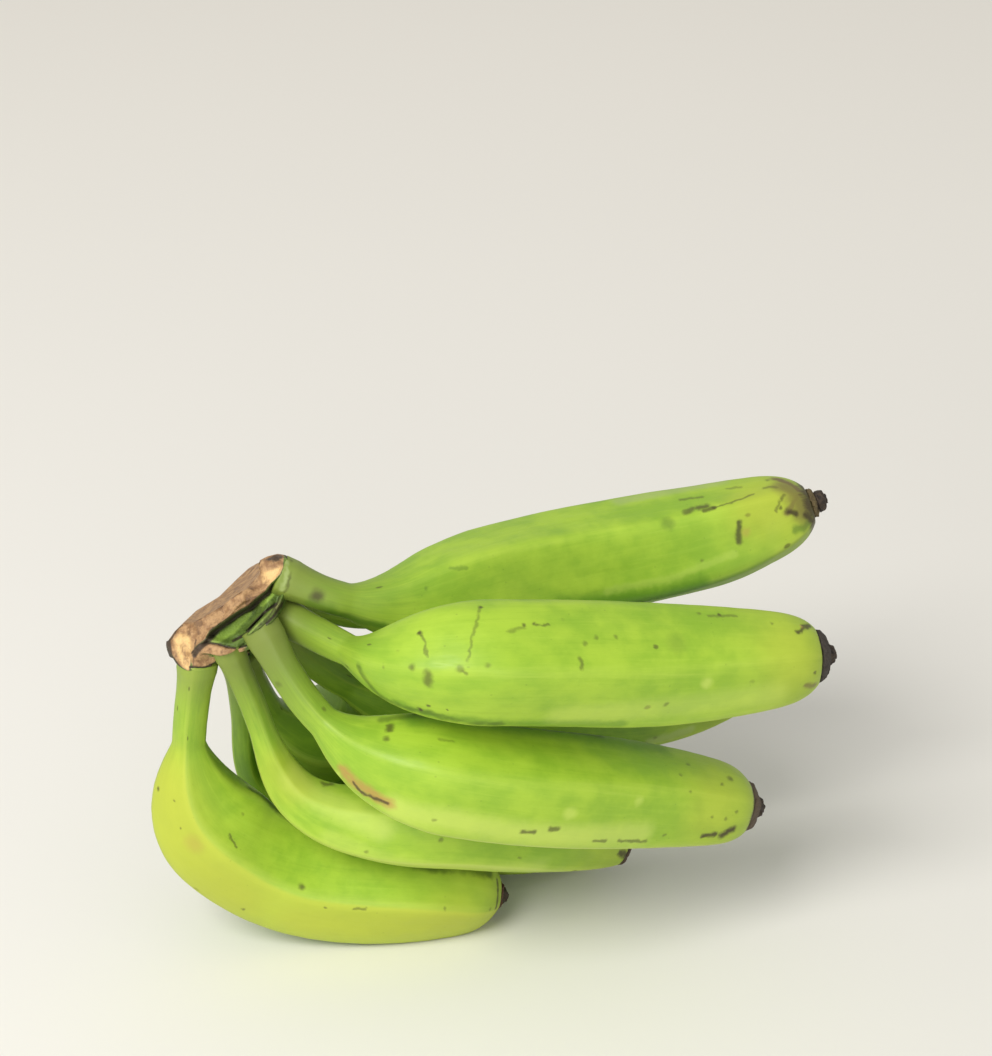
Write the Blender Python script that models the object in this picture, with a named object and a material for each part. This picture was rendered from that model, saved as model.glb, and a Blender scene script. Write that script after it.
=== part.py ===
"""A hand of nine green bananas lying on its lowest fingers, stalks grown into a cut crown.

Metres, +Z up, the surface at Z = 0. The fingers run from the crown at -X to their
dried blossom ends at +X. Control points are written in millimetres.
"""
import math

import bmesh
import bpy
import numpy as np
from mathutils import Matrix, Vector

MM = 0.001
GAP = 0.3
# The lowest fingers lose this much at the bottom, so that they rest on flat spots.
SETTLE = 1.2
SIDES = 20
RINGS = 24
RIDGE_STEP = 2 * math.pi / 5
RIDGE_WIDTH = math.radians(21)
RIDGE_HEIGHTS = (1.0, 0.55, 0.9, 0.6, 0.8)
FACE_DROP = 0.05
# The broad sides of the hand look this way, and section angles start from it.
FRONT = Vector((0.0, -math.cos(math.radians(26)), math.sin(math.radians(26))))
UP = Vector((0.0, math.sin(math.radians(26)), math.cos(math.radians(26))))
RIGHT = Vector((1.0, 0.0, 0.0))

# belly: largest radius, neck: stalk radius, neck_end: share of the length where the stalk
# starts to swell, swell: share that the swelling takes, end: radius of the cut-off blossom
# end, blunt: how late the far half tapers, round: share of the taper kept for the very end,
# ridge: angle of the strongest ridge in degrees.
FINGERS = [
    dict(line=[(-62, -22, 132), (-50, -22, 126.5), (-36, -17, 121), (-14, -3, 117),
               (17, 16, 116), (66, 31, 120), (102.3, 36.2, 129.4)],
         belly=19.2, neck=5.4, neck_end=0.10, swell=0.29, end=5.0, blunt=3.3, round=0.4, ridge=42,
         knob=(1.6, 3.2, 3.0), color=(0.34, 0.56, 0.07)),
    dict(line=[(-64, -22, 119), (-49, -34, 117), (-31, -49, 119), (-8, -54, 121),
               (16, -48, 118), (62, -33, 109.8), (98, -25.8, 108)],
         belly=20.1, neck=5.5, neck_end=0.15, swell=0.265, end=8.0, blunt=2.4, round=0.4, ridge=72,
         knob=(3.2, 4.2, 2.4), color=(0.38, 0.61, 0.08)),
    dict(line=[(-69, -35, 119), (-60, -41, 105), (-45, -47, 91), (-20, -51, 83),
               (10, -45, 74), (45, -29, 60), (79, -18, 49)],
         belly=19.2, neck=5.3, neck_end=0.17, swell=0.24, end=8.0, blunt=2.2, round=0.4, ridge=61,
         knob=(3.0, 3.6, 2.6), color=(0.40, 0.60, 0.08)),
    dict(line=[(-80, -34.2, 113), (-73.9, -31.4, 88.2), (-61, -31.9, 60.8), (-33, -30.3, 49.8),
               (-12.1, -24.7, 46.8), (9.5, -15.2, 39.2), (40.5, 1.9, 19.8)],
         belly=17.5, neck=3.9, neck_end=0.16, swell=0.66, end=5.5, blunt=3.0, round=0.0, ridge=50,
         knob=(1.4, 2.6, 1.8), color=(0.39, 0.60, 0.07)),
    dict(line=[(-91, -30, 106), (-95, -27, 81), (-92.8, -23, 49.8), (-73, -19.5, 27.3),
               (-51, -18, 19.5), (-26, -16, 16.6), (0, -10, 9.6)],
         belly=19.2, neck=5.4, neck_end=0.17, swell=0.25, end=5.5, blunt=4.8, round=0.4, ridge=15,
         knob=(1.8, 3.0, 2.0), color=(0.38, 0.57, 0.06)),
    dict(line=[(-63, -3, 117), (-53, 6, 108), (-41, 17, 100), (-16, 40, 96),
               (18, 53, 98), (52, 61, 101), (79, 66, 107)],
         belly=17.0, neck=5.2, neck_end=0.22, swell=0.28, end=7.0, blunt=3.2, round=0.0, ridge=30,
         knob=(2.0, 3.2, 2.4), color=(0.30, 0.50, 0.07)),
    dict(line=[(-67, -7, 105), (-57, -2, 92), (-44, 5, 79), (-15, 20, 67),
               (18, 31, 60), (52, 37, 56), (84, 39.3, 56)],
         belly=18.4, neck=5.2, neck_end=0.18, swell=0.26, end=7.0, blunt=3.4, round=0.0, ridge=66,
         knob=(2.4, 3.2, 2.2), color=(0.32, 0.53, 0.08)),
    dict(line=[(-78.9, -15.2, 99.8), (-71, -3.3, 73.4), (-59, 14.1, 55.7), (-48.7, 31.8, 50.6),
               (-13.6, 56.1, 37.7), (18.9, 64.7, 25.2), (29.1, 66.7, 21.4)],
         belly=17.4, neck=5.2, neck_end=0.145, swell=0.285, end=7.0, blunt=3.2, round=0.0, ridge=20,
         knob=(2.0, 3.0, 2.2), color=(0.30, 0.50, 0.07)),
    dict(line=[(-82, 2.2, 90), (-81.6, 11.2, 62.2), (-78.9, 15.9, 35.2), (-49.3, 19.5, 18.4),
               (-19.5, 21.0, 18.6), (6, 19.5, 15.4), (33, 25.5, 9.8)],
         belly=18.4, neck=5.2, neck_end=0.28, swell=0.36, end=6.5, blunt=4.0, round=0.0, ridge=55,
         knob=(1.8, 3.0, 2.0), color=(0.33, 0.54, 0.08)),
]

# Crown: centre line of the pad in the plane square to FRONT, as (right, up) millimetres.
PAD_LINE = [(-95.2, 87.3), (-89, 93.5), (-80, 99.7), (-71, 106.7), (-66, 111.3)]
PAD_DEPTH = -63.0
PAD_HALF_WIDTH = 24.5
PAD_HALF_THICK = 6.5
PAD_TILT = math.radians(12)
RIM = 2.6
RECESS = 0.9
COLLAR = 6.2
COLLAR_DEPTH = 6.0
CROWN_GRAIN = 1.6


def clean_scene():
    for item in list(bpy.data.objects):
        bpy.data.objects.remove(item, do_unlink=True)


def metres(point):
    """Millimetre point above the uncut fingers' lowest level to scene metres."""
    return Vector((point[0], point[1], point[2] - SETTLE)) * MM


def material(name, color, roughness):
    mat = bpy.data.materials.new(name)
    mat.use_nodes = True
    shader = mat.node_tree.nodes["Principled BSDF"]
    shader.inputs["Base Color"].default_value = (*color, 1.0)
    shader.inputs["Roughness"].default_value = roughness
    shader.inputs["Metallic"].default_value = 0.0
    return mat


def curve_through(points, shares):
    """Positions and directions on a natural cubic spline, at shares of its length."""
    knots = np.array(points, float)
    steps = np.linalg.norm(np.diff(knots, axis=0), axis=1)
    t = np.concatenate([[0.0], np.cumsum(steps)])
    count = len(knots)
    system = np.eye(count)
    right = np.zeros((count, 3))
    for i in range(1, count - 1):
        before, after = steps[i - 1], steps[i]
        system[i, i - 1] = before
        system[i, i] = 2 * (before + after)
        system[i, i + 1] = after
        right[i] = 6 * ((knots[i + 1] - knots[i]) / after - (knots[i] - knots[i - 1]) / before)
    bend = np.linalg.solve(system, right)

    def at(u):
        i = min(max(int(np.searchsorted(t, u)) - 1, 0), count - 2)
        h = steps[i]
        a = (t[i + 1] - u) / h
        b = (u - t[i]) / h
        swing = ((a ** 3 - a) * bend[i] + (b ** 3 - b) * bend[i + 1]) * h * h / 6
        return a * knots[i] + b * knots[i + 1] + swing

    fine = np.array([at(u) for u in np.linspace(0, t[-1], 240)])
    arc = np.concatenate([[0.0], np.cumsum(np.linalg.norm(np.diff(fine, axis=0), axis=1))])
    result = []
    for share in shares:
        spot = [np.interp(share * arc[-1], arc, fine[:, k]) for k in range(3)]
        low = [np.interp(share * arc[-1] - 0.8, arc, fine[:, k]) for k in range(3)]
        high = [np.interp(share * arc[-1] + 0.8, arc, fine[:, k]) for k in range(3)]
        result.append((Vector(spot), (Vector(high) - Vector(low)).normalized()))
    return result, arc[-1]


def finger_radius(spec, s):
    x = min(max((s - spec["neck_end"]) / spec["swell"], 0.0), 1.0) ** 0.7
    grown = x * x * (3 - 2 * x)
    late = max(0.0, (s - 0.5) / 0.5)
    late = (1 - spec["round"]) * late ** spec["blunt"] + spec["round"] * late ** 20
    taper = 1 - (1 - spec["end"] / spec["belly"]) * late
    flare = 0.9 * max(0.0, 1 - s / 0.06) ** 2
    return (spec["neck"] + flare + (spec["belly"] - spec["neck"]) * grown) * taper


def ridge_factor(angle, spec):
    """1 on the strongest ridge, less on the weaker ones, 1 - FACE_DROP on the flat faces."""
    best = 0.0
    for k, height in enumerate(RIDGE_HEIGHTS):
        away = angle - math.radians(spec["ridge"]) - k * RIDGE_STEP
        away = (away + math.pi) % (2 * math.pi) - math.pi
        best = max(best, height * math.exp(-(away / RIDGE_WIDTH) ** 2))
    return 1 - FACE_DROP * (1 - best)


def axes_at(direction):
    front = (FRONT - direction * FRONT.dot(direction)).normalized()
    return front, direction.cross(front)


def finger_rings(spec, sides, shares):
    spots, length = curve_through(spec["line"], shares)
    rings = []
    for share, (spot, direction) in zip(shares, spots):
        front, side = axes_at(direction)
        ring = []
        for j in range(sides):
            angle = math.radians(spec["ridge"]) + 2 * math.pi * j / sides
            radius = finger_radius(spec, share) * ridge_factor(angle, spec)
            ring.append(spot + (front * math.cos(angle) + side * math.sin(angle)) * radius)
        rings.append(ring)
    return rings


def loft(name, rings, mat):
    """One closed body through the rings, flat at both ends, faces out, smooth."""
    mesh = bpy.data.meshes.new(name)
    bm = bmesh.new()
    rows = []
    for ring in rings:
        rows.append([bm.verts.new(metres(point)) for point in ring])
    sides = len(rows[0])
    for low, high in zip(rows, rows[1:]):
        for j in range(sides):
            k = (j + 1) % sides
            bm.faces.new((low[j], low[k], high[k], high[j]))
    bm.faces.new(rows[0])
    bm.faces.new(rows[-1])
    bmesh.ops.recalc_face_normals(bm, faces=bm.faces)
    for face in bm.faces:
        face.smooth = len(face.verts) == 4
    bm.to_mesh(mesh)
    bm.free()
    obj = bpy.data.objects.new(name, mesh)
    bpy.context.scene.collection.objects.link(obj)
    obj.data.materials.append(mat)
    return obj


def cut_at_floor(obj):
    """Takes off what lies under Z = 0, so that the finger rests on a flat spot."""
    bm = bmesh.new()
    bm.from_mesh(obj.data)
    everything = list(bm.verts) + list(bm.edges) + list(bm.faces)
    cut = bmesh.ops.bisect_plane(bm, geom=everything, dist=1e-7, plane_co=(0, 0, 0),
                                 plane_no=(0, 0, -1), clear_outer=True)
    rim = [item for item in cut["geom_cut"] if isinstance(item, bmesh.types.BMEdge)]
    if rim:
        flat = bmesh.ops.holes_fill(bm, edges=rim, sides=0)
        for face in flat["faces"]:
            face.smooth = False
    bmesh.ops.recalc_face_normals(bm, faces=bm.faces)
    bm.to_mesh(obj.data)
    bm.free()


def make_finger(number, spec):
    shares = []
    for i in range(RINGS):
        u = i / (RINGS - 1)
        shares.append(0.5 * u + 0.5 * (0.5 - 0.5 * math.cos(math.pi * u)))
    skin = material(f"peel_{number}", spec["color"], 0.42)
    finger = loft(f"banana_{number}", finger_rings(spec, SIDES, shares), skin)
    if min(point[2] - spec["belly"] for point in spec["line"][3:]) < 0.5:
        cut_at_floor(finger)
    return finger


def make_tip(number, spec):
    """Dried end of the finger: a ragged collar and a small knob, a gap off the peel."""
    (spot, direction), = curve_through(spec["line"], [1.0])[0]
    front, side = axes_at(direction)
    cap, knob, knob_radius = spec["knob"]
    outline = [(0.0, spec["end"] * 0.93), (cap * 0.55, spec["end"] * 0.86),
               (cap, spec["end"] * 0.66), (cap + 0.6, knob_radius * 1.15),
               (cap + knob * 0.7, knob_radius), (cap + knob, knob_radius * 0.6)]
    rings = []
    for i, (along, radius) in enumerate(outline):
        ring = []
        for j in range(12):
            angle = 2 * math.pi * j / 12
            uneven = 1 + 0.06 * math.sin(3 * angle + number) + 0.05 * math.sin(5 * angle + 2 * i)
            lift = 0.35 * math.sin(4 * angle + number) if 0 < i < 3 else 0.0
            place = spot + direction * (GAP + along + lift * cap / 3)
            around = front * math.cos(angle) + side * math.sin(angle)
            ring.append(place + around * min(radius * uneven, spec["end"] * 0.95))
        rings.append(ring)
    dark = material(f"blossom_{number}", (0.030, 0.020, 0.014), 0.8)
    return loft(f"tip_{number}", rings, dark)


def pad_spots(count):
    plane = [tuple(RIGHT * x + UP * y - FRONT * PAD_DEPTH) for x, y in PAD_LINE]
    return curve_through(plane, [i / (count - 1) for i in range(count)])[0]


def pad_rings(half_width, half_thick, offset, shrink, ends):
    """Flattened oval sections along the pad, its cut side turned a little to the front."""
    spots = pad_spots(11)
    rings = []
    for i, (spot, along) in enumerate(spots):
        u = 2 * i / (len(spots) - 1) - 1
        outward = along.cross(FRONT).normalized()
        if outward.dot(UP) < 0:
            outward = -outward
        face = outward * math.cos(PAD_TILT) + FRONT * math.sin(PAD_TILT)
        wide = FRONT * math.cos(PAD_TILT) - outward * math.sin(PAD_TILT)
        round_end = (1 - abs(u) ** ends) ** 0.5 * (1 - shrink) + shrink
        centre = spot + face * offset
        ring = []
        for j in range(24):
            angle = 2 * math.pi * j / 24
            c, s = math.cos(angle), math.sin(angle)
            x = math.copysign(abs(c) ** 0.75, c) * half_width * round_end
            y = math.copysign(abs(s) ** 0.75, s) * half_thick * round_end
            wave = 0.7 * math.sin(5 * u + 2 * angle)
            ring.append(centre + wide * (x + wave * c) + face * y)
        rings.append(ring)
    return rings


def nearest_pad_spot(root):
    """Point in the pad nearest to the root as seen from the front, at the root's own depth."""
    best = min((spot for spot, along in pad_spots(25)),
               key=lambda spot: (spot - root).cross(FRONT).length)
    forward = PAD_DEPTH + FRONT.dot(root)
    limit = 0.75 * PAD_HALF_WIDTH
    return best + FRONT * min(max(forward, -limit), limit)


def add_collar(bm, spec):
    """Stub of the crown that one stalk grows out of: a hull from its flat end into the pad."""
    (root, direction), = curve_through(spec["line"], [0.0])[0]
    inner = nearest_pad_spot(root)
    behind = (root - inner).dot(direction)
    if behind < COLLAR_DEPTH:
        inner = inner - direction * (COLLAR_DEPTH - behind)
    front, side = axes_at(direction)
    stub = bmesh.ops.create_icosphere(bm, subdivisions=2, radius=(COLLAR - 0.3) * MM,
                                      matrix=Matrix.Translation(metres(inner)))["verts"]
    for along, radius in ((0.0, COLLAR), (3.0, COLLAR + 0.7)):
        for j in range(16):
            angle = 2 * math.pi * j / 16
            around = front * math.cos(angle) + side * math.sin(angle)
            stub.append(bm.verts.new(metres(root - direction * along + around * radius)))
    hull = bmesh.ops.convex_hull(bm, input=stub)
    spare = {item for item in hull["geom_interior"] + hull["geom_unused"]
             if isinstance(item, bmesh.types.BMVert)}
    bmesh.ops.delete(bm, geom=list(spare), context="VERTS")


def stalk_end(number, spec):
    """Trims a collar flat, a gap off the stalk that stands on it."""
    (root, direction), = curve_through(spec["line"], [0.0])[0]
    front, side = axes_at(direction)
    rings = []
    for along in (-GAP, 14.0):
        ring = []
        for j in range(16):
            angle = 2 * math.pi * j / 16
            around = front * math.cos(angle) + side * math.sin(angle)
            ring.append(root + direction * along + around * (COLLAR + 0.8))
        rings.append(ring)
    return loft(f"stalk_end_{number}", rings, bpy.data.materials["crown_skin"])


def make_crown():
    skin = material("crown_skin", (0.30, 0.19, 0.09), 0.75)
    pad = loft("crown", pad_rings(PAD_HALF_WIDTH, PAD_HALF_THICK, 0.0, 0.45, 4), skin)
    bm = bmesh.new()
    bm.from_mesh(pad.data)
    for spec in FINGERS:
        add_collar(bm, spec)
    bmesh.ops.recalc_face_normals(bm, faces=bm.faces)
    bm.to_mesh(pad.data)
    bm.free()
    grown = pad.modifiers.new("grown_together", "REMESH")
    grown.mode = "VOXEL"
    grown.voxel_size = CROWN_GRAIN * MM
    grown.use_smooth_shade = True
    soft = pad.modifiers.new("soft", "SMOOTH")
    soft.factor = 0.5
    soft.iterations = 3
    fewer = pad.modifiers.new("fewer", "DECIMATE")
    fewer.ratio = 0.22

    recess = loft("cut_face", pad_rings(PAD_HALF_WIDTH - RIM, 3.0, PAD_HALF_THICK + 3.0 - RECESS,
                                        0.45, 4), skin)
    hollow_at = RIGHT * -76.0 + UP * 98.0 - FRONT * (PAD_DEPTH - PAD_HALF_WIDTH - 1.5)
    bpy.ops.mesh.primitive_uv_sphere_add(segments=20, ring_count=12, radius=1.0)
    hollow = bpy.context.object
    hollow.name = "hollow"
    hollow.data.transform(hollow_matrix(hollow_at))
    for cutter in (recess, hollow):
        cut = pad.modifiers.new(cutter.name, "BOOLEAN")
        cut.operation = "DIFFERENCE"
        cut.object = cutter
        cut.solver = "EXACT"
        cutter.hide_render = True
        cutter.display_type = "WIRE"
    for number, spec in enumerate(FINGERS, 1):
        cutter = stalk_end(number, spec)
        cut = pad.modifiers.new(cutter.name, "BOOLEAN")
        cut.operation = "DIFFERENCE"
        cut.object = cutter
        cut.solver = "EXACT"
        cutter.hide_render = True
        cutter.display_type = "WIRE"
    return pad


def hollow_matrix(centre):
    along = (RIGHT * 0.76 + UP * 0.65).normalized()
    across = FRONT.cross(along).normalized()
    turn = Matrix((along, across, FRONT)).transposed().to_4x4()
    size = Matrix.Diagonal((11.0, 3.6, 6.0, 1.0))
    return Matrix.Translation(metres(centre)) @ turn @ size @ Matrix.Scale(MM, 4)


def centre_on_origin():
    """Puts the middle of the outline box over the origin."""
    bpy.context.view_layer.update()
    deps = bpy.context.evaluated_depsgraph_get()
    solids = [obj for obj in bpy.data.objects if not obj.hide_render]
    spots = [vert.co.copy() for obj in solids for vert in obj.evaluated_get(deps).data.vertices]
    shift = Vector((0.0, 0.0, 0.0))
    for axis in (0, 1):
        values = [spot[axis] for spot in spots]
        shift[axis] = -0.5 * (min(values) + max(values))
    for obj in bpy.data.objects:
        obj.data.transform(Matrix.Translation(shift))


def main():
    clean_scene()
    for number, spec in enumerate(FINGERS, 1):
        make_finger(number, spec)
        make_tip(number, spec)
    make_crown()
    centre_on_origin()


main()
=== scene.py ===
import math

import bpy
import numpy as np
from mathutils import Matrix, Vector
from mathutils.bvhtree import BVHTree


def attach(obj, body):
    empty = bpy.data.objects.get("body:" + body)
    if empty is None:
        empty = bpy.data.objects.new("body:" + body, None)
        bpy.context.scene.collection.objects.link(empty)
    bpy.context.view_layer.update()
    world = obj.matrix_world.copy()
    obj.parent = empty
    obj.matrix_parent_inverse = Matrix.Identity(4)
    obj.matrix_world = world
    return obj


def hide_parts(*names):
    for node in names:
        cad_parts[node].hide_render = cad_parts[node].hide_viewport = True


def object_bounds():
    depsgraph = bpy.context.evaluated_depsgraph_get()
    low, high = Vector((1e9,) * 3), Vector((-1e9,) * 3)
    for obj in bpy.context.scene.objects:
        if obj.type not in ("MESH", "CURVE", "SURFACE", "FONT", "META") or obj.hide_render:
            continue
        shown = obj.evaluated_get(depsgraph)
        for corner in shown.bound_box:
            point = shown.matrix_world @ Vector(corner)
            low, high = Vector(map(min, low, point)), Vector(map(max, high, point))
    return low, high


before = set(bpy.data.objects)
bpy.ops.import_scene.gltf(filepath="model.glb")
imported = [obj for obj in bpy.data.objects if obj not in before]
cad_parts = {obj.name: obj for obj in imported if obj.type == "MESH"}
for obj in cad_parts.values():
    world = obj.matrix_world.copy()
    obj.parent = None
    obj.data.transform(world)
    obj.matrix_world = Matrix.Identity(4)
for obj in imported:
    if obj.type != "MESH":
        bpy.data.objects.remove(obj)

cad_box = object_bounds()

MM = 0.001
# The hand is centred on its outline box and let down onto its flat spots.
SHIFT = (0.7771, -1.2316, -1.2)
TILT = math.radians(26)
FRONT = Vector((0.0, -math.cos(TILT), math.sin(TILT)))
UP = Vector((0.0, math.sin(TILT), math.cos(TILT)))
RIGHT = Vector((1.0, 0.0, 0.0))

# Circles that a finger's skin is bridged from, and the points in each.
RINGS = 44
SIDES = 30
# The stalks reach this far into the crown, millimetres.
ROOTED = 5.0
# The peel is rounded off over this last stretch before the edge of the CAD box, millimetres.
EASED = 0.8
# Radius that the peel's pattern is wrapped round, millimetres.
PEEL_RADIUS = 18
# Vertices that are measured against a middle line at a time.
BATCH = 4000
# Width of the crown's voxels, millimetres.
CROWN_GRAIN = 0.42
# How strongly each of a finger's five ridges stands out.
RIDGES = (1.0, 0.62, 0.92, 0.66, 0.82)

# The photo's size in points, and the lens and sensor height that the view was fitted with.
PHOTO_WIDE, PHOTO_HIGH = 992, 1056
LENS, SENSOR = 85, 36
REACH = LENS / SENSOR * PHOTO_HIGH
# Picture points to a millimetre at the crown, and the peel marks' millimetres to a point.
POINTS_PER_MM = 3.27
MARK_SCALE = 0.32
# The camera's place, millimetres.
EYE = Vector((0.777, -695.10, 476.09))

# The fingers on the shaded inside of the hand: darker greens as painted shade, a lighter face
# beside the ridge as painted light, and plain shapes.
INNER = dict(round=0.0, facet=0.060, tone_and_shade=((0.135, 0.27, 0.012), (0.23, 0.40, 0.020)),
             flank_light_and_shade=(0.3, (0.30, 0.42, 0.035)))

# line: points of the middle line, stalk first; lengths and radii are in millimetres.
# neck, belly, end: radii; neck_end, swell: shares of the length where the neck ends and how
# long it widens; blunt, round: how late and how suddenly it narrows to the end.
# ridge: angle of the strongest ridge; facet: how flat the faces are; twist: of the ridges.
# press: pressed or raised places as angle, share, spread and depth.
# knob: height of the dried dome, height and radius of its stub; rim: its colour.
# dies: width of the browned peel; stalk: strength of the stalk's colour; flank: strength and
# colour of the face beside the ridge, painted light on lit lower faces and painted shade on
# shaded under faces; tone: the peel's two greens, darker on the inner fingers as painted shade.
FINGERS = [
    dict(line=[(-62, -22, 132), (-50, -22, 126.5), (-36, -17, 121), (-14, -3, 117),
               (17, 16, 116), (66, 31, 120), (102.3, 36.5, 130)],
         belly=19.2, neck=5.4, neck_end=0.1, swell=0.29, end=5, blunt=3.3, round=0.4, ridge=42,
         knob=(1.8, 3.4, 3.2), dies=3.6, rim=(0.13, 0.095, 0.035), facet=0.125, stalk=0.8,
         press=((95, 0.86, 0.11, -1.5),), flank_light_and_shade=(0.6, (0.14, 0.29, 0.012))),
    dict(line=[(-64, -22, 119), (-49, -34, 117), (-31, -49, 119), (-8, -54, 121),
               (16, -48, 118), (62, -33, 109.8), (98, -25.8, 108)],
         belly=20.1, neck=5.5, neck_end=0.15, swell=0.265, end=8, blunt=2.4, round=0.4, ridge=72,
         knob=(3.6, 2.6, 2.7), dies=0.7, rim=(0.045, 0.036, 0.028), facet=0.055, stalk=0.85,
         press=((95, 0.4, 0.24, 1.9), (-80, 0.2, 0.07, 1.2)), flank_light_and_shade=(0.5, (0.54, 0.61, 0.13))),
    dict(line=[(-69, -35, 119), (-60, -41, 105), (-45, -47, 91), (-20, -51, 83),
               (10, -45, 74), (45, -29, 60), (79, -18, 49)],
         belly=19.2, neck=5.3, neck_end=0.17, swell=0.24, end=8, blunt=2.2, round=0.4, ridge=61,
         knob=(4, 3.2, 2.8), dies=1.6, rim=(0.11, 0.08, 0.05), facet=0.055, stalk=1,
         press=((-75, 0.52, 0.22, 1.7),), flank_light_and_shade=(0.5, (0.54, 0.61, 0.13))),
    dict(line=[(-80, -34.2, 113), (-72.8, -31.4, 88.2), (-61, -31.9, 60.8), (-33, -30.3, 49.8),
               (-12.1, -24.7, 46.8), (9.5, -15.2, 39.2), (40.5, 1.9, 19.8)],
         belly=17.5, neck=4.2, neck_end=0.16, swell=0.66, end=5.5, blunt=3, round=0, ridge=50,
         knob=(2.6, 1.8, 1.8), dies=1.4, rim=(0.08, 0.05, 0.03), facet=0.05, stalk=0.8,
         flank_light_and_shade=(0.45, (0.52, 0.61, 0.12))),
    dict(line=[(-91, -30, 106), (-95, -27, 81), (-92.8, -23, 49.8), (-73, -19.5, 27.3),
               (-51, -18, 19.5), (-26, -16, 16.6), (0, -10, 9.6)],
         belly=19.2, neck=5.4, neck_end=0.17, swell=0.25, end=5.5, blunt=4.8, round=0.4, ridge=15,
         knob=(1.4, 2.8, 2.5), dies=0.8, rim=(0.11, 0.045, 0.028), facet=0.085, stalk=0.35,
         twist=16, press=((-90, 0.33, 0.1, -1),), flank_light_and_shade=(0.55, (0.54, 0.57, 0.06))),
    dict(line=[(-63, -3, 117), (-53, 6, 108), (-41, 17, 100), (-16, 40, 96),
               (18, 53, 98), (52, 61, 101), (79, 66, 107)],
         belly=17, neck=5.2, neck_end=0.22, swell=0.28, end=7, blunt=3.2, ridge=30,
         knob=(3, 2.6, 2.4), dies=1.2, rim=(0.06, 0.045, 0.03), **INNER),
    dict(line=[(-67, -7, 105), (-57, -2, 92), (-44, 5, 79), (-15, 20, 67),
               (18, 31, 60), (52, 37, 56), (81.8, 39.2, 56)],
         belly=18.4, neck=5.2, neck_end=0.18, swell=0.26, end=5.6, blunt=3.4, ridge=66,
         knob=(3, 2.6, 2.2), dies=1.2, rim=(0.06, 0.045, 0.03), **INNER),
    dict(line=[(-78.9, -15.2, 99.8), (-71, -3.3, 73.4), (-59, 14.1, 55.7), (-48.7, 31.8, 50.6),
               (-13.6, 56.1, 37.7), (18.9, 64.7, 25.2), (29.1, 66.7, 21.4)],
         belly=17.4, neck=5.2, neck_end=0.145, swell=0.285, end=7, blunt=3.2, ridge=20,
         knob=(2.8, 2.4, 2.2), dies=1.4, rim=(0.08, 0.06, 0.035), **INNER),
    dict(line=[(-82, 2.2, 90), (-81.6, 11.2, 62.2), (-78.9, 15.9, 35.2), (-49.3, 19.5, 18.4),
               (-19.5, 21, 18.6), (6, 19.5, 15.4), (33, 25.5, 9.8)],
         belly=18.4, neck=5.2, neck_end=0.28, swell=0.36, end=6.5, blunt=4, ridge=55,
         knob=(2.6, 2.4, 2), dies=1.2, rim=(0.07, 0.05, 0.03), **INNER),
]

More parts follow.
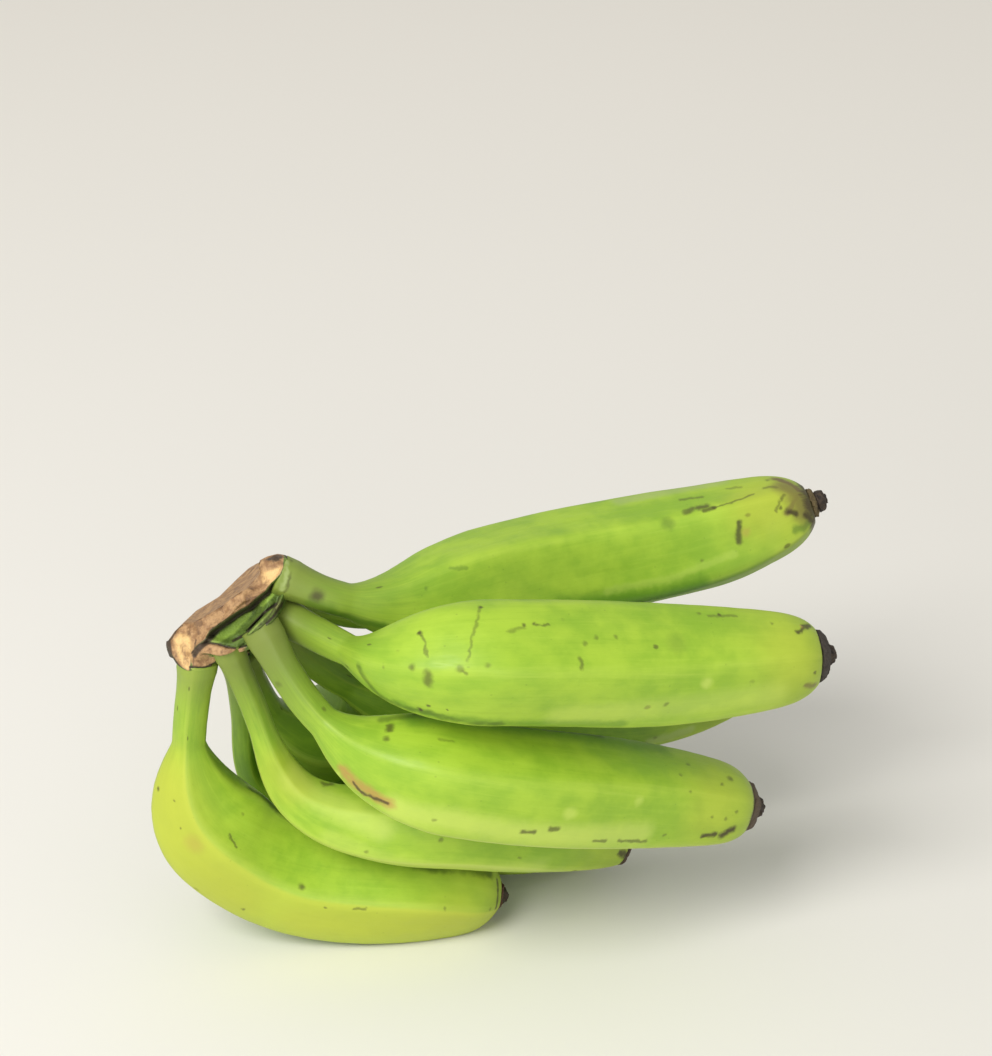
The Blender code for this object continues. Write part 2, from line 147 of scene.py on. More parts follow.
# Marks on the peel: kind, half width, strength, and the points of the picture they run through.
MARKS = {
    1: [("umber", 3.2, 0.95, (739, 522), (739, 533), (739, 542)), ("rust", 5, 0.35, (746, 532)),
        ("moss_and_shade", 7, 0.6, (668, 523)), ("umber", 4.2, 0.8, (687, 512), (692, 509)),
        ("umber", 4.5, 0.9, (698, 508), (706, 506)), ("umber", 3, 0.85, (704, 510), (713, 508)),
        ("brown", 1.7, 0.6, (713, 508), (736, 501), (753, 494)),
        ("umber", 2.4, 0.6, (681, 500), (701, 497)), ("brown", 2.6, 0.4, (736, 487)),
        ("brown", 2, 0.4, (727, 489), (741, 487)), ("umber", 2.8, 0.6, (764, 488), (775, 487)),
        ("umber", 2.6, 0.6, (767, 480)), ("brown", 1.6, 0.5, (777, 511), (779, 502), (784, 496)),
        ("brown", 2, 0.7, (782, 499)), ("brown", 2, 0.7, (781, 508)),
        ("husk", 6, 0.9, (776, 479), (788, 483), (798, 490)),
        ("husk", 14, 0.72, (786, 487), (799, 499), (804, 510)),
        ("umber", 1.7, 0.7, (291, 560), (290, 578), (284, 592)),
        ("grey_and_sheen", 2.2, 0.6, (287, 562), (286, 578), (281, 590)),
        ("husk", 4.5, 0.75, (797, 495), (792, 506), (788, 513)),
        ("brown", 3.6, 0.9, (806, 515), (812, 521)), ("brown", 3.2, 0.9, (788, 512), (796, 513)),
        ("moss_and_shade", 4.5, 0.7, (796, 530), (803, 528), (809, 523)),
        ("ripe_and_lit", 34, 0.42, (762, 505), (780, 502)), ("brown", 6.5, 0.8, (317, 596)),
        # Painted shade along the underside of finger 1's stalk, where finger 2 lies close below.
        ("moss_and_shade", 7, 0.6, (312, 604), (330, 610)),
        ("moss_and_shade", 2.2, 0.5, (450, 568), (466, 568)), ("moss_and_shade", 2.2, 0.5, (426, 588)),
        ("pale_and_lit", 4, 0.22, (607, 591), (640, 584), (670, 579), (703, 566), (734, 554)),
        # The next three strokes are painted shade on finger 1's under face and stalk underside,
        # above finger 2.
        ("shaded_side", 13, 0.95, (560, 610), (620, 602), (660, 597), (700, 586)),
        ("shaded_side", 11, 0.35, (700, 586), (740, 572), (765, 560)),
        ("shaded_side", 5, 0.6, (330, 612), (360, 622), (385, 626)),
        # Painted sheen along the top of finger 1.
        ("grey_and_sheen", 9, 0.5, (620, 501), (670, 491), (720, 482))],
    # Finger 2: the first two strokes are painted shade along its lower edge, over finger 3.
    2: [("shaded_side", 7, 0.6, (400, 704), (470, 720), (560, 724), (620, 724)),
        ("crease_shadow", 4.5, 0.55, (345, 668), (380, 696), (430, 713), (500, 724)),
        ("brown", 2.8, 0.9, (420, 633)), ("umber", 1.5, 0.6, (421, 636), (425, 643), (427, 656)),
        ("brown", 3.3, 0.6, (412, 667)), ("umber", 4.4, 0.75, (428, 675), (428, 683)),
        ("brown", 2.4, 0.8, (480, 607)),
        ("umber", 1.5, 0.5, (480, 608), (478, 618), (472, 640), (468, 661)),
        ("umber", 3.3, 0.55, (460, 669)), ("brown", 1.6, 0.5, (462, 671), (467, 674)),
        ("umber", 2.2, 0.45, (509, 631), (523, 628)), ("brown", 2.1, 0.7, (524, 625)),
        ("brown", 2.1, 0.7, (534, 624)), ("brown", 1.5, 0.6, (536, 625), (548, 625)),
        ("umber", 2.2, 0.5, (585, 643)), ("umber", 2, 0.5, (596, 637)),
        ("umber", 2, 0.5, (616, 637)), ("umber", 2, 0.65, (580, 658), (582, 668)),
        ("brown", 2.8, 0.95, (420, 709)), ("brown", 2, 0.8, (429, 706)),
        ("brown", 1.4, 0.7, (447, 710)), ("umber", 2.2, 0.5, (699, 614)),
        ("umber", 1.7, 0.5, (708, 616), (736, 616)), ("brown", 2.1, 0.7, (719, 615)),
        ("umber", 2, 0.5, (772, 623)), ("moss_and_shade", 10, 0.3, (677, 643)), ("pale_and_lit", 6, 0.5, (707, 683)),
        ("umber", 2.2, 0.3, (752, 682)), ("brown", 2.6, 0.5, (666, 704)),
        ("umber", 2.2, 0.4, (384, 668)), ("brown", 2.4, 0.85, (803, 626), (810, 626), (817, 630)),
        ("rust", 2.4, 0.7, (802, 627)), ("brown", 1.8, 0.7, (815, 673)),
        ("husk", 3.4, 0.7, (806, 686), (815, 685)),
        ("ripe_and_lit", 30, 0.25, (790, 650), (796, 670)),
        # Paler stripe along finger 2's lower side, partly a pale ridge and partly painted light
        # from the floor.
        ("pale_and_lit", 14, 0.3, (560, 716), (700, 704), (775, 694))],
    # Finger 3: the first two strokes are painted shade along its top, under finger 2.
    3: [("crease_shadow", 5, 0.5, (350, 703), (400, 705), (450, 717), (520, 727), (600, 736)),
        ("shaded_side", 12, 0.65, (400, 708), (450, 718), (520, 728), (600, 738), (660, 748)),
        ("rust", 7, 0.8, (344, 771), (353, 782), (369, 792), (388, 803)),
        ("brown", 1.9, 0.85, (342, 783), (361, 792), (377, 799), (388, 804)),
        ("pale_and_lit", 4.5, 0.6, (338, 775)), ("umber", 3.5, 0.85, (391, 726), (389, 730)),
        ("umber", 3, 0.75, (386, 739)), ("umber", 2.2, 0.6, (324, 709)),
        ("umber", 3.2, 0.5, (278, 684)), ("umber", 1.8, 0.4, (440, 739), (453, 742)),
        ("umber", 2.2, 0.5, (434, 820)), ("brown", 2.8, 0.75, (522, 832), (534, 832)),
        ("umber", 3.3, 0.8, (551, 829), (557, 829)), ("umber", 2.3, 0.7, (595, 841), (605, 841)),
        ("umber", 2, 0.7, (619, 841), (646, 841)), ("umber", 2, 0.6, (664, 835)),
        ("brown", 2.6, 0.9, (703, 836), (716, 834)),
        ("brown", 4, 0.95, (722, 835), (727, 832), (733, 829)), ("umber", 3.4, 0.7, (730, 779)),
        ("umber", 2.2, 0.6, (722, 784)), ("umber", 2.2, 0.5, (688, 764)),
        ("umber", 1.8, 0.5, (681, 775)), ("umber", 1.8, 0.5, (691, 792)),
        ("umber", 2.2, 0.6, (737, 811)), ("umber", 2, 0.5, (726, 819)),
        ("umber", 1.7, 0.5, (712, 817)), ("pale_and_lit", 7, 0.45, (570, 814)),
        ("pale_and_lit", 5, 0.4, (639, 801)), ("ripe_and_lit", 30, 0.25, (715, 800), (712, 815)),
        # Paler band along finger 3's lower side, partly a pale ridge and partly painted light from
        # the floor.
        ("pale_and_lit", 14, 0.55, (395, 808), (450, 820), (560, 836), (640, 834))],
    # Finger 4: the first mark and the two wide strokes below its dark specks are painted highlight
    # on its lit shoulder and lower side.
    4: [("ripe_and_lit", 26, 0.4, (283, 772), (290, 780)),
        ("umber", 3.4, 0.75, (323, 784), (331, 784)), ("umber", 2.4, 0.6, (440, 840)),
        ("umber", 2.2, 0.5, (366, 852)), ("umber", 1.8, 0.5, (520, 858)),
        ("pale_and_lit", 10, 0.3, (330, 838), (420, 866), (540, 866)),
        ("pale_and_lit", 14, 0.5, (296, 778), (330, 802), (380, 828)),
        ("brown", 4, 0.9, (620, 853), (626, 855))],
    # Finger 5: the first stroke is painted shade in the crevice under finger 4.
    5: [("crease_shadow", 5, 0.7, (250, 762), (275, 796), (300, 824), (350, 850), (430, 868),
         (490, 874)), ("brown", 2.2, 0.75, (158, 789)), ("brown", 1.4, 0.6, (175, 801)),
        ("brown", 1.4, 0.6, (181, 828)), ("rust", 10, 0.3, (194, 844)),
        ("brown", 1.3, 0.6, (229, 835), (237, 847)), ("umber", 3.4, 0.8, (302, 887)),
        ("brown", 1.5, 0.6, (326, 907)), ("umber", 2.2, 0.7, (243, 909)),
        ("umber", 1.8, 0.4, (243, 814)), ("umber", 1.8, 0.6, (354, 909), (366, 909)),
        ("umber", 2.2, 0.6, (490, 909)), ("umber", 1.8, 0.5, (445, 909)),
        # The two wide marks are partly a yellower peel and partly painted light on finger 5's lit
        # left and lower sides.
        ("ripe_and_lit", 40, 0.48, (165, 790), (178, 840), (225, 895)),
        ("ripe_and_lit", 26, 0.35, (300, 922), (380, 925), (450, 920)),
        ("brown", 2.2, 0.8, (497, 880), (498, 895), (496, 908))],
    7: [("umber", 2.4, 0.5, (655, 738)), ("grey_and_sheen", 6, 0.5, (650, 742), (690, 730))],
}


# ---------------------------------------------------------------- hand tools

def nothing_selected():
    if bpy.context.mode != "OBJECT":
        bpy.ops.object.mode_set(mode="OBJECT")
    bpy.ops.object.select_all(action="DESELECT")


def take(obj):
    nothing_selected()
    obj.select_set(True)
    bpy.context.view_layer.objects.active = obj


def modify(obj, kind, **settings):
    take(obj)
    modifier = obj.modifiers.new(kind.lower(), kind)
    for name, value in settings.items():
        setattr(modifier, name, value)
    bpy.ops.object.modifier_apply(modifier=modifier.name)


def smooth(obj):
    take(obj)
    bpy.ops.object.shade_smooth()


# ---------------------------------------------------------------- the fingers' lines

class Line:
    """Natural cubic curve through a finger's points, measured by its length."""

    def __init__(self, points):
        knots = np.array(points, float) + np.array(SHIFT)
        steps = np.linalg.norm(np.diff(knots, axis=0), axis=1)
        t = np.concatenate([[0.0], np.cumsum(steps)])
        count = len(knots)
        system = np.eye(count)
        right = np.zeros((count, 3))
        for i in range(1, count - 1):
            system[i, i - 1] = steps[i - 1]
            system[i, i] = 2 * (steps[i - 1] + steps[i])
            system[i, i + 1] = steps[i]
            right[i] = 6 * ((knots[i + 1] - knots[i]) / steps[i]
                            - (knots[i] - knots[i - 1]) / steps[i - 1])
        bend = np.linalg.solve(system, right)
        u = np.linspace(0, t[-1], 400)
        i = np.clip(np.searchsorted(t, u) - 1, 0, count - 2)
        h = steps[i][:, None]
        a = (t[i + 1] - u)[:, None] / h
        b = (u - t[i])[:, None] / h
        fine = a * knots[i] + b * knots[i + 1]
        fine = fine + ((a ** 3 - a) * bend[i] + (b ** 3 - b) * bend[i + 1]) * h * h / 6
        arc = np.concatenate([[0.0], np.cumsum(np.linalg.norm(np.diff(fine, axis=0), axis=1))])
        self.length = arc[-1]
        self.share = arc / arc[-1]
        self.spots = fine
        self.ways = np.gradient(fine, arc, axis=0)
        self.ways /= np.linalg.norm(self.ways, axis=1)[:, None]

    def at(self, share):
        """Place and direction at a share of the length, carried straight on past the ends."""
        inside = min(max(share, 0.0), 1.0)
        spot = Vector([np.interp(inside, self.share, self.spots[:, k]) for k in range(3)])
        way = Vector([np.interp(inside, self.share, self.ways[:, k]) for k in range(3)])
        way.normalize()
        return spot + way * (share - inside) * self.length, way

    def frame(self, share):
        spot, way = self.at(share)
        front = (FRONT - way * FRONT.dot(way)).normalized()
        return spot, way, front, way.cross(front)


# ---------------------------------------------------------------- the photo's view

def sight(x, y):
    """Direction from the camera through a point of the picture."""
    across, down = x - PHOTO_WIDE / 2, y - PHOTO_HIGH / 2
    ray = RIGHT * (across / REACH) - UP * (down / REACH) - FRONT
    return ray.normalized()


def pictured(spots):
    """Picture points of places given in millimetres."""
    away = spots - np.array(EYE)
    depth = -(away @ np.array(FRONT))
    across = PHOTO_WIDE / 2 + REACH * (away @ np.array(RIGHT)) / depth
    down = PHOTO_HIGH / 2 - REACH * (away @ np.array(UP)) / depth
    return np.stack([across, down], axis=1)


def reached(tree, x, y, toward):
    """Place where the sight line first meets a piece, moved towards a point if it misses."""
    tries = 14
    for step in range(tries):
        t = step / tries
        hit = tree.ray_cast(EYE * MM, sight(x + (toward[0] - x) * t, y + (toward[1] - y) * t))
        if hit[0] is not None:
            return hit[0]
    return None


def surface_tree(obj):
    obj.data.calc_loop_triangles()
    corners = [tuple(t.vertices) for t in obj.data.loop_triangles]
    return BVHTree.FromPolygons([v.co for v in obj.data.vertices], corners)


def beside(points, seen):
    """Distance in picture points from each vertex to a drawn line."""
    best = np.full(len(seen), 1e9)
    if len(points) == 1:
        return np.linalg.norm(seen - np.array(points[0]), axis=1)
    for a, b in zip(points, points[1:]):
        a, b = np.array(a, float), np.array(b, float)
        way = b - a
        t = np.clip(((seen - a) @ way) / (way @ way + 1e-9), 0, 1)
        best = np.minimum(best, np.linalg.norm(seen - a - t[:, None] * way, axis=1))
    return best


def stroke(points, seen, width):
    """1 on a drawn line, fading to 0 at its width."""
    t = np.clip(1 - beside(points, seen) / width, 0, 1)
    return t * t * (3 - 2 * t)


def shifted(points, right, down):
    return [(x + right, y + down) for x, y in points]


def patch(points, seen, soft):
    """1 inside a drawn outline, fading to 0 across its edge."""
    inside = np.zeros(len(seen), bool)
    for (ax, ay), (bx, by) in zip(points, points[1:] + points[:1]):
        crossing = (ay > seen[:, 1]) != (by > seen[:, 1])
        at = ax + (seen[:, 1] - ay) * (bx - ax) / (by - ay + 1e-12)
        inside ^= crossing & (seen[:, 0] < at)
    edge = beside(points + points[:1], seen)
    t = np.clip(0.5 + np.where(inside, edge, -edge) / (2 * soft), 0, 1)
    return t * t * (3 - 2 * t)


# ---------------------------------------------------------------- shapes

def girth(spec, s):
    """Radius of a finger at shares of its length: thin stalk, long belly, blunt end."""
    x = np.clip((s - spec["neck_end"]) / spec["swell"], 0.0, 1.0) ** 0.7
    grown = x * x * (3 - 2 * x)
    late = np.clip((s - 0.5) / 0.5, 0.0, 1.0)
    late = (1 - spec["round"]) * late ** spec["blunt"] + spec["round"] * late ** 20
    taper = 1 - (1 - spec["end"] / spec["belly"]) * late
    flare = 0.9 * np.clip(1 - s / 0.06, 0.0, 1.0) ** 2
    return (spec["neck"] + flare + (spec["belly"] - spec["neck"]) * grown) * taper


def five_sided(spec, angle, soft):
    """1 on the strongest ridge, 0 in the middle of a flat face, ridges rounded by soft."""
    best = np.zeros_like(angle)
    half = math.pi / 5
    top = math.cos(half) / math.cos(half - soft)
    low = math.cos(half)
    for k, height in enumerate(RIDGES):
        away = angle - math.radians(spec["ridge"]) - k * 2 * half
        away = (away + math.pi) % (2 * math.pi) - math.pi
        bent = np.minimum(np.sqrt(away ** 2 + soft ** 2), half)
        peak = (math.cos(half) / np.cos(half - bent) - low) / (top - low)
        best = np.maximum(best, height * peak)
    return best


def vertices_of(obj):
    spots = np.empty(len(obj.data.vertices) * 3, np.float32)
    obj.data.vertices.foreach_get("co", spots)
    return spots.reshape(-1, 3).astype(float) / MM


def put_vertices(obj, spots):
    obj.data.vertices.foreach_set("co", (spots * MM).astype(np.float32).ravel())
    obj.data.update()


def hump(spots, scale, seed):
    """Smooth unevenness in -1 to 1, from a few crossing waves."""
    rng = np.random.default_rng(seed)
    total = np.zeros(len(spots))
    for octave in range(5):
        way = rng.normal(size=3)
        way /= np.linalg.norm(way)
        bend = rng.normal(size=3)
        phase = rng.uniform(0, 6.28, 2)
        inner = np.sin(spots @ bend / scale * 0.6 + phase[1])
        total += np.sin(spots @ way * 2 * math.pi / scale / (0.7 + 0.2 * octave)
                        + phase[0] + 1.7 * inner)
    return total / 5


def unrolled(line, spots):
    """Share of the length and angle round the middle line for each vertex."""
    share = np.empty(len(spots))
    angle = np.empty(len(spots))
    out = np.empty((len(spots), 3))
    for start in range(0, len(spots), BATCH):
        part = spots[start:start + BATCH]
        gaps = ((part[:, None, :] - line.spots[None, ::2, :]) ** 2).sum(axis=2)
        near = np.clip(np.argmin(gaps, axis=1) * 2, 1, len(line.spots) - 2)
        step = ((part - line.spots[near]) * line.ways[near]).sum(axis=1)
        s = line.share[near] + step / line.length
        share[start:start + BATCH] = s
        way = np.stack([np.interp(s, line.share, line.ways[:, k]) for k in range(3)], axis=1)
        way /= np.linalg.norm(way, axis=1)[:, None]
        middle = np.stack([np.interp(s, line.share, line.spots[:, k]) for k in range(3)], axis=1)
        middle += way * ((s - np.clip(s, 0, 1)) * line.length)[:, None]
        f = np.array(FRONT)
        front = f - way * (way @ f)[:, None]
        front /= np.linalg.norm(front, axis=1)[:, None]
        side = np.cross(way, front)
        away = part - middle
        angle[start:start + BATCH] = np.arctan2((away * side).sum(axis=1),
                                                (away * front).sum(axis=1))
        out[start:start + BATCH] = middle
    return share, angle, out


def keep_pattern(obj, name, values):
    held = obj.data.attributes.new(name, "FLOAT_VECTOR", "POINT")
    held.data.foreach_set("vector", values.astype(np.float32).ravel())


def keep_value(obj, name, values):
    held = obj.data.attributes.new(name, "FLOAT", "POINT")
    held.data.foreach_set("value", values.astype(np.float32))


def new_piece(name):
    """An empty mesh at the origin, left in edit mode for its rings."""
    nothing_selected()
    bpy.ops.object.add(type="MESH", location=(0, 0, 0))
    obj = bpy.context.object
    obj.name = name
    obj.data.name = name
    bpy.ops.object.mode_set(mode="EDIT")
    return obj


def close_skin():
    """Bridges the rings of the piece in edit mode, closes both ends, and leaves edit mode."""
    bpy.ops.mesh.select_mode(type="EDGE")
    bpy.ops.mesh.select_all(action="SELECT")
    bpy.ops.mesh.bridge_edge_loops()
    bpy.ops.mesh.select_mode(type="VERT")
    bpy.ops.mesh.select_all(action="DESELECT")
    bpy.ops.mesh.select_non_manifold()
    bpy.ops.mesh.fill_holes(sides=0)
    bpy.ops.mesh.select_all(action="SELECT")
    bpy.ops.mesh.normals_make_consistent(inside=False)
    bpy.ops.object.mode_set(mode="OBJECT")


def grow_finger(number, spec):
    """Rings round the middle line, bridged to a skin, then pushed to ridges and flat faces."""
    line = spec["path"]
    obj = new_piece(f"finger_{number}")
    for i in range(RINGS):
        u = i / (RINGS - 1)
        s = 0.6 * u + 0.4 * (0.5 - 0.5 * math.cos(math.pi * u))
        s = s * (1 + ROOTED / line.length) - ROOTED / line.length
        spot, way, front, side = line.frame(s)
        turn = Matrix((front, side, way)).transposed().to_euler()
        bpy.ops.mesh.primitive_circle_add(
            vertices=SIDES, radius=float(girth(spec, max(s, 0.0))) * MM, fill_type="NOTHING",
            location=spot * MM, rotation=turn)
    close_skin()
    modify(obj, "SUBSURF", levels=2, render_levels=2, boundary_smooth="PRESERVE_CORNERS")

    spots = vertices_of(obj)
    share, angle, middle = unrolled(line, spots)
    away = spots - middle
    now = np.linalg.norm(away, axis=1)
    inside = np.clip(share, 0, 1)
    body = np.clip((inside - 0.06) / 0.25, 0, 1) * np.clip((1.02 - inside) / 0.12, 0, 1)
    early = np.clip((0.62 - inside) / 0.30, 0, 1)
    twist = math.radians(spec.get("twist", 0)) * early * early * (3 - 2 * early)
    turned = angle + 0.10 * np.sin(inside * 5 + number) + twist
    ridge = five_sided(spec, turned, math.radians(6))
    drop = 0.045 + spec["facet"] * body
    uneven = 0.25 * hump(spots, 30.0, number) * body + 0.06 * hump(spots, 7.0, number + 20)
    full = 1.008 + 0.3 * spec["facet"]
    want = girth(spec, inside) * full * (1 - drop * (1 - ridge)) + uneven - 0.05
    for side_angle, at, spread, depth in spec.get("press", ()):
        facing = np.clip(np.cos(angle - math.radians(side_angle)), 0, 1) ** 2
        want = want - depth * facing * np.exp(-((inside - at) / spread) ** 2)
    wall = (share > 0.004 - ROOTED / line.length) & (share < 0.996) & (now > 1e-6)
    spots[wall] = middle[wall] + away[wall] * (want[wall] / now[wall])[:, None]
    spots[:, 2] = np.maximum(spots[:, 2], 0.0)
    # The near side and the top stay inside the CAD box.
    for axis, corner, way in ((1, 0, -1), (2, 1, 1)):
        edge = cad_box[corner][axis] / MM
        past = (spots[:, axis] - edge) * way + EASED
        over = past > 0
        spots[over, axis] = edge - way * EASED * np.exp(-past[over] / EASED)
    put_vertices(obj, spots)
    wrap = np.stack([inside * line.length, PEEL_RADIUS * np.cos(angle),
                     PEEL_RADIUS * np.sin(angle)], axis=1)
    keep_pattern(obj, "skin", wrap * MM)
    keep_value(obj, "ridge", ridge)
    # Mask of the face just past the strongest ridge, where the peel lays painted light and painted
    # shade.
    past = (turned - math.radians(spec["ridge"]) + math.pi) % (2 * math.pi) - math.pi
    under = np.clip(past / 0.10 + 0.5, 0, 1) * np.clip((1.45 - past) / 0.25, 0, 1)
    keep_value(obj, "under", under)
    smooth(obj)
    return obj


def make_tip(number, spec):
    """Dried end of the finger: a shrunken dark dome with a torn rim and the style's stub."""
    line = spec["path"]
    end = spec["end"]
    dome, knob, knob_radius = spec["knob"]
    outline = [(-0.8, end * 0.90), (-0.35, end * 0.99), (0.15, end * 1.01),
               (dome * 0.30, end * 0.96), (dome * 0.58, end * 0.84), (dome * 0.80, end * 0.68),
               (dome * 0.94, end * 0.54),
               (dome * 0.98, max(knob_radius * 1.15, end * 0.42)), (dome + knob * 0.3, knob_radius),
               (dome + knob * 0.75, knob_radius * 0.95), (dome + knob, knob_radius * 0.66),
               (dome + knob * 0.85, knob_radius * 0.3)]
    obj = new_piece(f"dried_end_{number}")
    for along, radius in outline:
        spot, way, front, side = line.frame(1 + along / line.length)
        turn = Matrix((front, side, way)).transposed().to_euler()
        bpy.ops.mesh.primitive_circle_add(vertices=28, radius=radius * MM, fill_type="NOTHING",
                                          location=spot * MM, rotation=turn)
    close_skin()
    modify(obj, "SUBSURF", levels=2, render_levels=2)

    spots = vertices_of(obj)
    spot, way, front, side = line.frame(1.0)
    away = spots - np.array(spot)
    depth = away @ np.array(way)
    x, y = away @ np.array(front), away @ np.array(side)
    angle = np.arctan2(y, x)
    radius = np.hypot(x, y)
    rim = np.clip((radius / end - 0.45) / 0.4, 0, 1) * np.clip((dome - depth) / 1.2 + 0.5, 0, 1)
    torn = 0.5 * np.sin(5 * angle + number) + 0.3 * np.sin(11 * angle + 2 * number)
    torn += 0.35 * np.sin(17 * angle + 3 * number)
    near = np.clip(1 - np.abs(depth) / 1.6, 0, 1)
    depth = depth + near * torn * 0.55
    lobes = 1 + 0.10 * np.sin(5 * angle + number) * np.clip(depth / max(dome, 1), 0, 1.2)
    lumps = 0.40 * hump(spots, 2.6, number + 40) + 0.22 * hump(spots, 1.2, number + 60)
    radius = radius * lobes + lumps * np.clip(radius / 2.0, 0, 1)
    depth = depth + 0.30 * hump(spots, 1.9, number + 80) * np.clip(depth / 1.5, 0, 1)
    spots = (np.array(spot) + depth[:, None] * np.array(way)
             + (radius * np.cos(angle))[:, None] * np.array(front)
             + (radius * np.sin(angle))[:, None] * np.array(side))
    spots[:, 2] = np.maximum(spots[:, 2], 0.3)
    put_vertices(obj, spots)
    keep_value(obj, "rim", rim)
    smooth(obj)
    return obj


# Crown, as points of the picture.
CUT_EDGE = [(283, 567), (280, 574), (271, 583), (265, 591), (258, 596), (249, 605), (239, 610),
            (230, 616), (220, 623), (209, 631), (205, 639), (196, 646), (192, 652)]
BACK_RIM = [(169, 640), (176, 629), (193, 613), (214, 600), (230, 588), (246, 570), (258, 559),
            (276, 554), (287, 556)]
CROWN_EDGE = [(168, 641), (175, 631), (196, 611), (219, 597), (236, 580), (253, 564), (266, 557),
              (277, 554), (290, 556)]
CROWN_INSIDE = [(330, 560), (330, 760), (150, 760), (150, 641)]
CUT_FACE = CUT_EDGE + [(189, 672), (178, 664), (164, 641), (174, 626), (193, 609), (214, 595),
                       (230, 582), (246, 565), (260, 552), (284, 548)]
HOLLOW = [(278, 580), (280, 590), (278, 601), (273, 609), (262, 618), (250, 629), (239, 638),
          (228, 642), (217, 640), (208, 637), (213, 630), (221, 624), (231, 617), (240, 611),
          (250, 606), (259, 597), (266, 591), (272, 584)]
INNER_FOLD = [(276, 604), (265, 612), (254, 623), (246, 634), (233, 641)]
MIDDLE_FOLD = [(273, 609), (262, 620), (252, 631), (240, 642)]
OUTER_FOLD = [(282, 604), (274, 616), (262, 628), (252, 637), (250, 648)]
SHEATH = [(288, 556), (291, 564), (290, 572), (288, 583), (285, 594), (281, 604), (276, 613),
          (271, 621), (260, 629), (254, 637), (252, 650)]
LOWER_LIP = [(192, 653), (199, 645), (207, 643), (217, 644), (223, 646), (233, 648), (246, 649),
             (249, 653), (239, 659), (222, 658), (219, 660), (214, 666), (203, 667), (193, 667),
             (191, 658)]
UNDER_LINE = [(190, 667), (198, 668), (211, 667), (217, 663), (222, 659), (240, 659), (249, 654)]
GOLD_LEFT = [(174, 640), (180, 633), (190, 637), (192, 650), (190, 674), (183, 666), (177, 653)]
GOLD_TOP = [(262, 573), (282, 566), (277, 580), (268, 585), (262, 584)]


